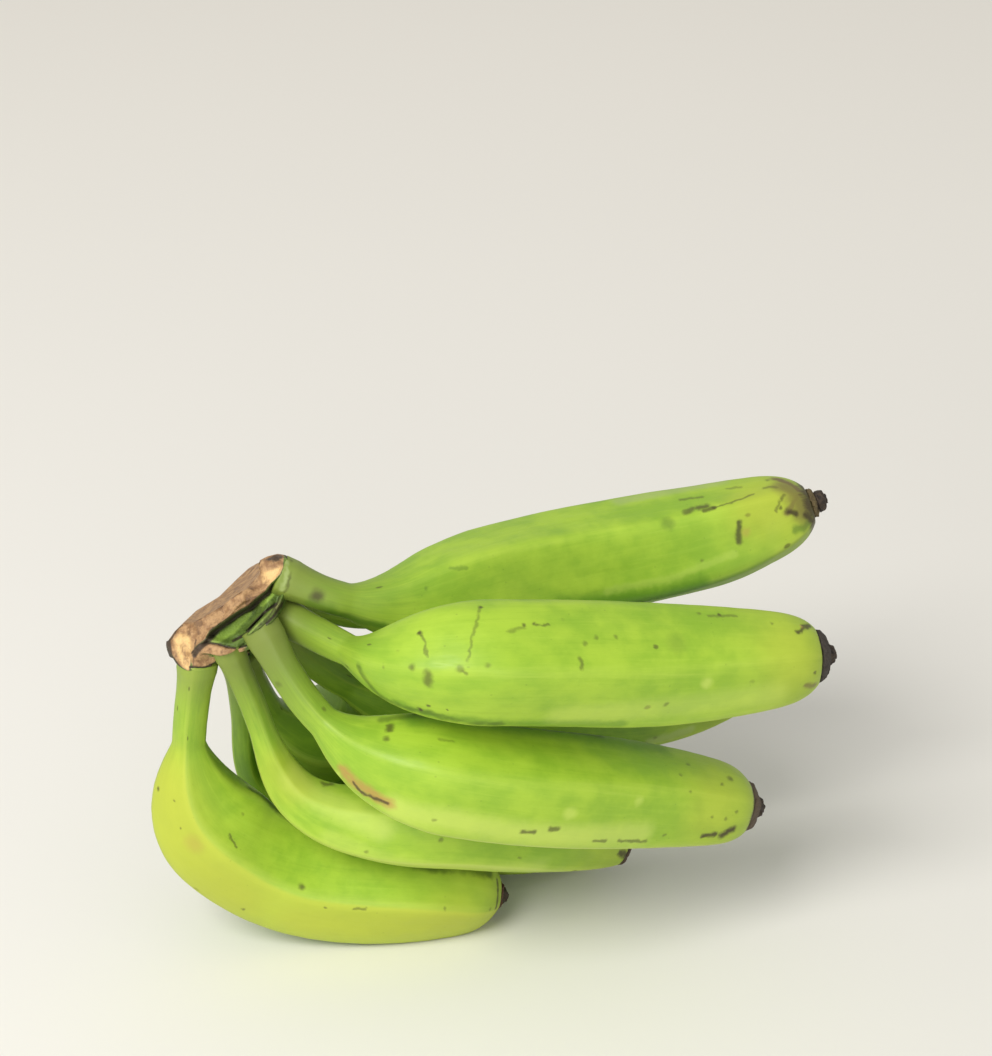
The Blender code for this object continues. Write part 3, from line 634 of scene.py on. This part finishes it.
def make_crown():
    """The cut crown that all the stalks grow out of, sculpted on the frame's own solid."""
    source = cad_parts["crown"]
    nothing_selected()
    obj = bpy.data.objects.new("cut_crown", source.data.copy())
    bpy.context.scene.collection.objects.link(obj)
    take(obj)
    bpy.ops.object.mode_set(mode="EDIT")
    bpy.ops.mesh.select_all(action="SELECT")
    bpy.ops.mesh.remove_doubles(threshold=1e-6)
    bpy.ops.object.mode_set(mode="OBJECT")
    modify(obj, "REMESH", mode="VOXEL", voxel_size=CROWN_GRAIN * MM)
    modify(obj, "SMOOTH", factor=0.5, iterations=5)

    spots = vertices_of(obj)
    # Collars draw in, so that each stalk's own skin runs on into the crown.
    for spec in FINGERS:
        spot, way = spec["path"].at(0.0)
        away = spots - np.array(spot)
        along = away @ np.array(way)
        flat = away - along[:, None] * np.array(way)
        out = np.linalg.norm(flat, axis=1)
        limit = spec["neck"] + np.clip(-along - 3.4, -0.9, 0.5)
        near = (along > -5) & (along < 1) & (out < 8.5) & (out > limit)
        pull = np.clip((along[near] + 5) / 1.6, 0, 1) * (out[near] - limit[near])
        spots[near] -= flat[near] / out[near][:, None] * pull[:, None]
    put_vertices(obj, spots)

    # The left end of the cut bulges, and the back is trimmed along its worn edge.
    seen = pictured(spots)
    inward = np.array(RIGHT * 0.64 - UP * 0.77)
    down_left = np.array(RIGHT * -0.75 - UP * 0.66)
    spots -= (3.0 * bump([(183, 630)], seen, 13))[:, None] * inward
    spots += (1.3 * bump([(180, 662), (186, 668)], seen, 10))[:, None] * down_left
    seen = pictured(spots)
    beyond = beside(CROWN_EDGE, seen) * (patch(CROWN_EDGE + CROWN_INSIDE, seen, 0.01) < 0.5)
    spots += (np.minimum(beyond, 18) / POINTS_PER_MM)[:, None] * inward
    put_vertices(obj, spots)

    toward = np.array(FRONT)
    seen = pictured(spots)
    facing = facing_camera(obj, spots)[0]
    depth = -3.8 * patch(HOLLOW, seen, 2.5)
    depth += 1.2 * stroke(MIDDLE_FOLD, seen, 3.4) - 1.2 * stroke(INNER_FOLD, seen, 2.4)
    depth -= 1.2 * stroke(OUTER_FOLD, seen, 2.4)
    depth += 1.4 * stroke(SHEATH, seen, 4.5)
    depth += 1.2 * patch(LOWER_LIP, seen, 2.0) - 1.3 * stroke(LOWER_LIP[:7], seen, 2.0)
    depth += 0.9 * stroke(CUT_EDGE, seen, 3.2)
    depth -= 1.0 * stroke(shifted(CUT_EDGE, 3, 3), seen, 3.2)
    depth -= 0.7 * patch(CUT_FACE, seen, 5.0)
    depth += 0.9 * stroke(BACK_RIM, seen, 4.0)
    depth += 1.0 * stroke([(184, 640), (183, 656), (190, 672)], seen, 6)
    depth += 0.45 * hump(spots, 3.0, 71) * patch(CUT_FACE, seen, 3.0)
    spots += (depth * facing)[:, None] * toward
    spots += (0.16 * hump(spots, 2.4, 72) + 0.30 * hump(spots, 9.0, 73))[:, None] * toward * 0.6
    put_vertices(obj, spots)
    modify(obj, "SMOOTH", factor=0.4, iterations=1)

    spots = vertices_of(obj)
    seen = pictured(spots)
    open_side = facing_camera(obj, spots)[1]
    outward = -(normals_of(obj) @ inward)
    top = np.clip((outward - 0.45) / 0.3, 0, 1)
    rim = np.clip(1 - np.abs(outward - 0.42) / 0.22, 0, 1)
    hidden = 1 - open_side
    cut = np.maximum(patch(CUT_FACE, seen, 1.5), patch(LOWER_LIP, seen, 1.2)) * open_side
    cut = np.maximum(cut, top * hidden)
    # Dark torn rims, folds and lines, with painted shade under the cut edge and in the hollow's
    # left corner.
    dark = stroke(BACK_RIM, seen, 4.2) * (1 - 0.7 * top)
    far_corner = stroke([(256, 561), (266, 558), (280, 558)], seen, 9)
    dark = np.maximum(dark, far_corner * (0.85 - 0.5 * top))
    # Painted shade in the left corner of the hollow.
    dark = np.maximum(dark, patch([(196, 648), (209, 634), (222, 630), (214, 640)], seen, 3) * 0.8)
    # The first stroke and the last run under the cut edge as painted shade; the others are dark
    # folds and torn lines.
    for line, width, strength in (
            (shifted(CUT_EDGE[2:], 2.5, 3), 5.5, 0.95), (INNER_FOLD, 3.0, 0.95),
            (OUTER_FOLD, 3.0, 0.9), (shifted(SHEATH, 3, 1), 2.4, 0.75),
            (shifted(SHEATH[2:], -4, -1), 2.0, 0.6), (UNDER_LINE, 2.8, 1.0),
            (LOWER_LIP[:7], 2.6, 0.85),
            ([(168, 641), (170, 656), (179, 669), (190, 677)], 5.5, 1.0),
            ([(196, 640), (193, 655), (194, 668)], 2.2, 0.6),
            ([(265, 592), (249, 606), (230, 617), (210, 630)], 2.6, 0.6)):
        dark = np.maximum(dark, stroke(line, seen, width) * strength)
    dark = np.maximum(dark * open_side, rim * hidden * 0.7)
    green = patch(HOLLOW, seen, 2.0) * open_side
    fold_end = [(231, 640), (250, 638), (250, 648), (232, 648)]
    green = np.maximum(green, patch(fold_end, seen, 1.5) * open_side)
    for spec in FINGERS:
        root = spec["path"].at(0.0)[0]
        far = np.linalg.norm(spots - np.array(root), axis=1)
        green = np.maximum(green, np.clip(1.6 - far / 8.0, 0, 1) * (1 - cut))
    # Painted light on the lit strips of green flesh in the hollow.
    lit = stroke([(216, 640), (232, 630), (248, 613)], seen, 8)
    lit = np.maximum(lit, stroke([(262, 604), (271, 595), (276, 585)], seen, 5.5))
    lit = np.maximum(lit, stroke(MIDDLE_FOLD, seen, 3.0) * 0.6) * open_side
    gold = np.maximum(patch(GOLD_LEFT, seen, 2.0), patch(GOLD_TOP, seen, 2.0)) * open_side
    for name, values in (("cut", cut), ("dark", dark), ("green", green), ("gold", gold),
                         ("lit", lit)):
        keep_value(obj, name, values)
    smooth(obj)
    return obj


def bump(points, seen, width):
    """1 on a drawn line, falling off softly all round."""
    return np.exp(-(beside(points, seen) / width) ** 2)


def normals_of(obj):
    values = np.empty(len(obj.data.vertices) * 3, np.float32)
    obj.data.vertex_normals.foreach_get("vector", values)
    return values.reshape(-1, 3).astype(float)


def facing_camera(obj, spots):
    """How squarely the photo's camera sees the surface, and whether it sees it at all."""
    tree = surface_tree(obj)
    eye = np.array(EYE)
    away = spots - eye
    far = np.linalg.norm(away, axis=1)
    turned = -(normals_of(obj) * away).sum(axis=1) / far
    weight = np.clip((turned - 0.02) / 0.25, 0, 1)
    visible = np.clip((turned + 0.10) / 0.08, 0, 1)
    start = EYE * MM
    for i in np.nonzero(visible > 0)[0]:
        hit = tree.ray_cast(start, Vector(away[i] / far[i]))
        if hit[0] is not None and hit[3] < (far[i] - 1.2) * MM:
            weight[i] = 0.0
            visible[i] = 0.0
    return weight, visible


# ---------------------------------------------------------------- shader maths

class Wire:
    """A shader socket that takes part in Python expressions."""

    def __init__(self, paint, socket):
        self.paint = paint
        self.socket = socket

    def _math(self, operation, first, second=None):
        values = {0: first} if second is None else {0: first, 1: second}
        return self.paint.node("ShaderNodeMath", dict(operation=operation), values)

    def __add__(self, other):
        return self._math("ADD", self, other)

    def __radd__(self, other):
        return self._math("ADD", other, self)

    def __sub__(self, other):
        return self._math("SUBTRACT", self, other)

    def __rsub__(self, other):
        return self._math("SUBTRACT", other, self)

    def __mul__(self, other):
        return self._math("MULTIPLY", self, other)

    def __truediv__(self, other):
        return self._math("DIVIDE", self, other)

    def over(self, other):
        return self._math("MAXIMUM", self, other)

    def under(self, other):
        return self._math("MINIMUM", self, other)


class Paint:
    """One material: its nodes, and the patterns that more than one finish uses."""

    def __init__(self, name):
        self.material = bpy.data.materials.new(name)
        self.material.use_nodes = True
        self.tree = self.material.node_tree
        self.shader = self.tree.nodes["Principled BSDF"]

    def node(self, kind, settings=None, values=None, out=0):
        made = self.tree.nodes.new(kind)
        for name, value in (settings or {}).items():
            setattr(made, name, value)
        for key, value in (values or {}).items():
            if isinstance(value, Wire):
                self.tree.links.new(value.socket, made.inputs[key])
            else:
                made.inputs[key].default_value = value
        return Wire(self, made.outputs[out])

    def place(self):
        return self.node("ShaderNodeTexCoord", out="Object")

    def skin(self):
        return self.node("ShaderNodeAttribute", dict(attribute_name="skin"), out="Vector")

    def scaled(self, vector, x, y, z):
        return self.vector("MULTIPLY", vector, (x, y, z))

    def parts(self, vector):
        split = self.tree.nodes.new("ShaderNodeSeparateXYZ")
        self.tree.links.new(vector.socket, split.inputs[0])
        return [Wire(self, split.outputs[k]) for k in range(3)]

    def cells(self, vector, scale):
        """Distance from the nearest of some scattered points, and that point's own draw."""
        return [self.node("ShaderNodeTexVoronoi", dict(feature="F1"),
                          {"Vector": vector, "Scale": scale}, out) for out in ("Distance", "Color")]

    def noise(self, vector, scale, detail=3.0, rough=0.55):
        return self.node("ShaderNodeTexNoise", None,
                         {"Vector": vector, "Scale": scale, "Detail": detail,
                          "Roughness": rough})

    def step(self, value, low, high):
        return self.node("ShaderNodeMapRange", dict(interpolation_type="SMOOTHSTEP"),
                         {"Value": value, "From Min": low, "From Max": high})

    def vector(self, operation, first, second=None, scale=None, out="Vector"):
        values = {0: first} if second is None else {0: first, 1: second}
        if scale is not None:
            values["Scale"] = scale
        return self.node("ShaderNodeVectorMath", dict(operation=operation), values, out)

    def apart(self, place, spots):
        """Distance of a place from a line drawn through some spots, metres."""
        if len(spots) == 1:
            return self.vector("DISTANCE", place, tuple(spots[0]), out="Value")
        best = None
        for a, b in zip(spots, spots[1:]):
            way = b - a
            away = self.vector("SUBTRACT", place, tuple(a))
            t = self.vector("DOT_PRODUCT", away, tuple(way / way.length_squared), out="Value")
            t = self.node("ShaderNodeClamp", None, {"Value": t})
            near = self.vector("SCALE", tuple(way), scale=t)
            far = self.vector("DISTANCE", away, near, out="Value")
            best = far if best is None else best.under(far)
        return best

    def mark(self, place, spots, width, strength):
        """A mask of the given strength near a drawn line, ragged by the place's own warp."""
        far = self.apart(place, spots)
        return self.node("ShaderNodeMapRange", dict(interpolation_type="SMOOTHSTEP"),
                         {"Value": far, "From Min": width * 1.6, "From Max": width * 0.25,
                          "To Max": strength})

    def mix(self, share, first, second, blend="MIX"):
        made = self.tree.nodes.new("ShaderNodeMix")
        made.data_type = "RGBA"
        made.blend_type = blend
        for key, value in ((0, share), (6, first), (7, second)):
            if isinstance(value, Wire):
                self.tree.links.new(value.socket, made.inputs[key])
            elif key == 0:
                made.inputs[key].default_value = value
            else:
                made.inputs[key].default_value = (*value, 1.0)
        return Wire(self, made.outputs[2])

    def finish(self, color, roughness, height=None, depth=0.0, **fixed):
        for key, value in (("Base Color", color), ("Roughness", roughness)):
            if isinstance(value, Wire):
                self.tree.links.new(value.socket, self.shader.inputs[key])
            else:
                self.shader.inputs[key].default_value = value
        if height is not None:
            bump = self.node("ShaderNodeBump", None,
                             {"Height": height, "Distance": depth, "Strength": 1.0})
            self.tree.links.new(bump.socket, self.shader.inputs["Normal"])
        for key, value in fixed.items():
            self.shader.inputs[key.replace("_", " ")].default_value = value
        return self.material


# The later ones are laid over the earlier ones.
# Of these, deep and crease are painted shade; pale and ripe are partly paler, riper peel and partly
# painted light; grey is partly a painted sheen; moss is partly painted shade.
MARK_COLOURS = dict(shaded_side=(0.10, 0.24, 0.010), crease_shadow=(0.018, 0.050, 0.003),
                    pale_and_lit=(0.55, 0.66, 0.13), grey_and_sheen=(0.36, 0.44, 0.16), ripe_and_lit=(0.44, 0.465, 0.042),
                    moss_and_shade=(0.10, 0.19, 0.018), rust=(0.42, 0.23, 0.065),
                    umber=(0.080, 0.092, 0.014), husk=(0.14, 0.090, 0.035),
                    brown=(0.045, 0.032, 0.010))


def peel(number, spec, tree):
    """Green peel: lengthwise streaks, paler ridges, yellower ends, specks and scars, with painted
    shade and painted light laid in on some faces and marks.
    """
    paint = Paint(f"green_peel_{number}")
    skin = paint.skin()
    place = paint.place()
    share = paint.parts(skin)[0] / (spec["path"].length * MM)
    ridge = paint.node("ShaderNodeAttribute", dict(attribute_name="ridge"), out="Fac")
    broad = paint.noise(paint.scaled(skin, 0.6, 1, 1), 55.0, 3.0)
    cloud = paint.noise(paint.vector("ADD", skin, (number * 0.37, 0, 0)), 130.0, 3.0)
    streaks = paint.noise(paint.scaled(skin, 0.05, 1, 1), 700.0, 4.0, 0.65)
    fine = paint.noise(paint.scaled(skin, 0.2, 1, 1), 2400.0, 3.0)
    # The peel's two greens; the inner fingers' darker pair is painted shade.
    low, high = spec.get("tone_and_shade", ((0.235, 0.412, 0.024), (0.345, 0.520, 0.036)))
    color = paint.mix(paint.step(broad * 0.6 + cloud * 0.4, 0.36, 0.64), low, high)
    color = paint.mix(paint.step(streaks, 0.48, 0.75) * 0.18, color, (0.42, 0.60, 0.06))
    color = paint.mix(paint.step(streaks, 0.47, 0.28) * 0.16, color, (0.16, 0.31, 0.012))
    color = paint.mix(paint.step(fine, 0.58, 0.8) * 0.22, color, (0.17, 0.30, 0.012))
    color = paint.mix(paint.step(ridge + (streaks - 0.5) * 0.5, 0.55, 1.1) * 0.42, color,
                      (0.44, 0.58, 0.075))
    # The face past the strongest ridge: painted shade on finger 1's under face, painted light on
    # the lit lower faces of the others.
    under = paint.node("ShaderNodeAttribute", dict(attribute_name="under"), out="Fac")
    flank_light_and_shade = paint.step(under + (streaks - 0.5) * 0.3, 0.1, 0.9) * paint.step(share, 0.10, 0.26)
    flank_light_strength, flank_light_colour = spec["flank_light_and_shade"]
    color = paint.mix(flank_light_and_shade * flank_light_strength, color, flank_light_colour)
    ends = paint.step(share, 0.74, 0.98)
    color = paint.mix(ends * 0.38, color, (0.37, 0.42, 0.045))
    stalk = 1 - paint.step(share + (streaks - 0.5) * 0.08, 0.02, 0.26)
    color = paint.mix(stalk * spec.get("stalk", 0.7), color, (0.155, 0.235, 0.028))
    root = 1 - paint.step(share + (streaks - 0.5) * 0.05, -0.02, 0.10)
    color = paint.mix(root * 0.42, color, (0.22, 0.23, 0.060))

    # Small specks all over, a few to a finger.
    cells = paint.vector("ADD", paint.scaled(skin, 0.8, 1, 1), (number * 0.11, 0, 0))
    far, lot = paint.cells(cells, 130.0)
    luck, size = paint.parts(lot)[:2]
    speck = paint.step(far + (fine - 0.5) * 0.10 - size * 0.07, 0.12, 0.03)
    speck = speck * paint.step(luck, 0.80, 0.84)
    color = paint.mix(speck * 0.7, color, (0.07, 0.07, 0.014))
    pin, pins = paint.cells(skin, 420.0)
    chance = paint.parts(pins)[0]
    pin = paint.step(pin, 0.16, 0.06) * paint.step(chance, 0.80, 0.82)
    color = paint.mix(pin * 0.32, color, (0.13, 0.19, 0.02))

    # Marks seen in the picture, each at its own place on the peel; some are painted shade in
    # crevices and under other fingers, and some are painted light on lit sides.
    warp = paint.node("ShaderNodeTexNoise", None, {"Vector": place, "Scale": 420.0, "Detail": 3.0},
                      "Color")
    bent = paint.vector("MULTIPLY", paint.vector("SUBTRACT", warp, (0.5, 0.5, 0.5)),
                        (0.0020, 0.0020, 0.0020))
    bent = paint.vector("ADD", place, bent)
    middle = spec["path"].at(0.5)[0]
    aim = pictured(np.array([middle]))[0]
    masks = {}
    for kind, width, strength, *points in MARKS.get(number, ()):
        spots = [reached(tree, *point, aim) for point in points]
        mask = paint.mark(bent, spots, width * MARK_SCALE * MM, strength)
        masks[kind] = masks[kind].over(mask) if kind in masks else mask
    if number == 3:
        masks["rust"] = masks["rust"] * paint.step(fine + streaks * 0.5, 0.45, 0.75)
    for kind, shade in MARK_COLOURS.items():
        if kind in masks:
            color = paint.mix(masks[kind], color, shade)

    # The peel dies back to brown where it meets the dried end.
    torn = share * spec["path"].length + (fine - 0.5) * 1.6 + (cloud - 0.5) * spec["dies"] * 1.6
    dead = paint.step(torn, spec["path"].length - spec["dies"] - 0.4,
                      spec["path"].length - spec["dies"] * 0.5)
    color = paint.mix(dead * 0.9, color, (0.050, 0.032, 0.014))
    height = streaks * 0.22 + fine * 0.16 + broad * 0.7 - speck * 0.3
    if "brown" in masks:
        height = height - masks["brown"] * 0.5
    rough = paint.step(fine + cloud * 0.5, 0.3, 1.1) * 0.16 + 0.38 + speck * 0.2
    return paint.finish(color, rough, height, 0.00014, Specular_IOR_Level=0.40)


def dried(number, spec):
    """Dried flower end: nearly black, browner at the rim, with torn fibres."""
    paint = Paint(f"dried_end_{number}")
    place = paint.place()
    grain = paint.noise(place, 700.0, 4.0, 0.7)
    crumbs = paint.noise(place, 2200.0, 3.0, 0.6)
    color = paint.mix(paint.step(grain, 0.35, 0.62), (0.014, 0.010, 0.008), (0.060, 0.040, 0.024))
    rim = paint.node("ShaderNodeAttribute", dict(attribute_name="rim"), out="Fac")
    color = paint.mix(paint.step(rim + (grain - 0.5) * 0.8, 0.35, 0.75) * 0.85, color, spec["rim"])
    color = paint.mix(paint.step(crumbs, 0.60, 0.76) * 0.45, color, (0.16, 0.11, 0.07))
    rough = paint.step(grain, 0.2, 0.8) * 0.25 + 0.6
    return paint.finish(color, rough, grain + crumbs * 0.5, 0.0007)


def crown_finish():
    """Cut crown: corky tan face, dark torn edges with painted shade under the cut edge, green flesh
    inside the hollow with painted light on its lit strips.
    """
    paint = Paint("crown_skin")
    place = paint.place()
    cut, dark, green, gold, lit = [
        paint.node("ShaderNodeAttribute", dict(attribute_name=name), out="Fac")
        for name in ("cut", "dark", "green", "gold", "lit")]
    grain = paint.noise(place, 420.0, 4.0, 0.65)
    fibre = paint.noise(paint.scaled(place, 1, 1, 0.3), 1500.0, 3.0, 0.6)
    blots = paint.noise(place, 190.0, 3.0, 0.6)
    skin = paint.mix(paint.step(grain, 0.35, 0.65), (0.105, 0.105, 0.035), (0.26, 0.25, 0.10))
    cork = paint.mix(paint.step(grain, 0.35, 0.65), (0.26, 0.135, 0.055), (0.48, 0.29, 0.135))
    cork = paint.mix(paint.step(blots, 0.56, 0.66) * 0.7, cork, (0.12, 0.060, 0.026))
    cork = paint.mix(gold * paint.step(blots + fibre * 0.4, 0.50, 0.80), cork, (0.76, 0.50, 0.21))
    cork = paint.mix(paint.step(fibre, 0.60, 0.72) * 0.5, cork, (0.10, 0.055, 0.025))
    flesh = paint.mix(paint.step(grain, 0.3, 0.7), (0.070, 0.125, 0.014), (0.125, 0.20, 0.026))
    flesh = paint.mix(paint.step(lit + (grain - 0.5) * 0.4, 0.2, 0.8), flesh, (0.27, 0.42, 0.055))
    color = paint.mix(paint.step(green + (grain - 0.5) * 0.4, 0.25, 0.75), skin, flesh)
    color = paint.mix(paint.step(cut + (grain - 0.5) * 0.5, 0.35, 0.65), color, cork)
    # Dark edges and folds, with the painted shade under the cut edge.
    color = paint.mix(paint.step(dark + (fibre - 0.5) * 0.5, 0.25, 0.80) * 0.92, color,
                      (0.034, 0.022, 0.014))
    height = grain + fibre * 0.4 + blots * 0.6
    return paint.finish(color, 0.42 + paint.step(grain, 0.2, 0.7) * 0.3, height, 0.0007)


# ---------------------------------------------------------------- the hand

for number, spec in enumerate(FINGERS, 1):
    spec["path"] = Line(spec["line"])
    finger = grow_finger(number, spec)
    finger.data.materials.clear()
    finger.data.materials.append(peel(number, spec, surface_tree(finger)))
    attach(finger, "root")
    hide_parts(f"banana_{number}")
    tip = make_tip(number, spec)
    tip.data.materials.clear()
    tip.data.materials.append(dried(number, spec))
    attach(tip, "root")
    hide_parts(f"tip_{number}")

crown = make_crown()
crown.data.materials.clear()
crown.data.materials.append(crown_finish())
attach(crown, "root")
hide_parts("crown")


# ---------------------------------------------------------------- floor, light, camera

def studio():
    nothing_selected()
    bpy.ops.mesh.primitive_plane_add(size=24.0, location=(0, 0, 0))
    floor = bpy.context.object
    floor.name = "table"
    paint = Paint("pale_table")
    place = paint.place()
    cloud = paint.noise(place, 1.5, 2.0)
    x, y = paint.parts(place)[:2]
    # Paler towards the back: painted light that makes up for the lamps' falloff on the far floor.
    color = paint.mix(paint.step(y + (cloud - 0.5) * 0.2, -0.25, 1.5), (0.785, 0.770, 0.732),
                      (0.95, 0.915, 0.845))
    # Darker at the near right: a painted shadow that spreads the hand's soft shadow.
    painted_shadow = paint.step(x, -0.02, 0.34) * (1 - paint.step(y, 0.0, 0.7))
    color = paint.mix(painted_shadow * 0.11, color, (0.30, 0.28, 0.23))
    floor.data.materials.append(paint.finish(color, 0.85))

    world = bpy.data.worlds.new("studio")
    bpy.context.scene.world = world
    world.use_nodes = True
    world.node_tree.nodes["Background"].inputs["Color"].default_value = (0.93, 0.92, 0.89, 1)
    world.node_tree.nodes["Background"].inputs["Strength"].default_value = 0.61

    def lamp(name, place, aim, size, power, color):
        nothing_selected()
        way = Vector(aim) - Vector(place)
        bpy.ops.object.light_add(type="AREA", location=place,
                                 rotation=way.to_track_quat("-Z", "Y").to_euler())
        light = bpy.context.object
        light.name = name
        light.data.shape = "DISK"
        light.data.size = size
        light.data.energy = power
        light.data.color = color

    lamp("key_light", (-0.9, -1.3, 1.6), (0, 0, 0.06), 1.2, 41, (1.0, 0.985, 0.955))
    lamp("fill_light", (0.2, -1.6, 0.3), (0, 0, 0.06), 1.0, 5, (1.0, 1.0, 1.0))

    nothing_selected()
    bpy.ops.object.camera_add(location=EYE * MM,
                              rotation=(math.radians(64), 0, 0))
    camera = bpy.context.object
    camera.name = "photo_view"
    camera.data.lens = LENS
    camera.data.sensor_fit = "VERTICAL"
    camera.data.sensor_height = SENSOR
    bpy.context.scene.camera = camera


studio()
bpy.context.scene.view_settings.view_transform = "Standard"
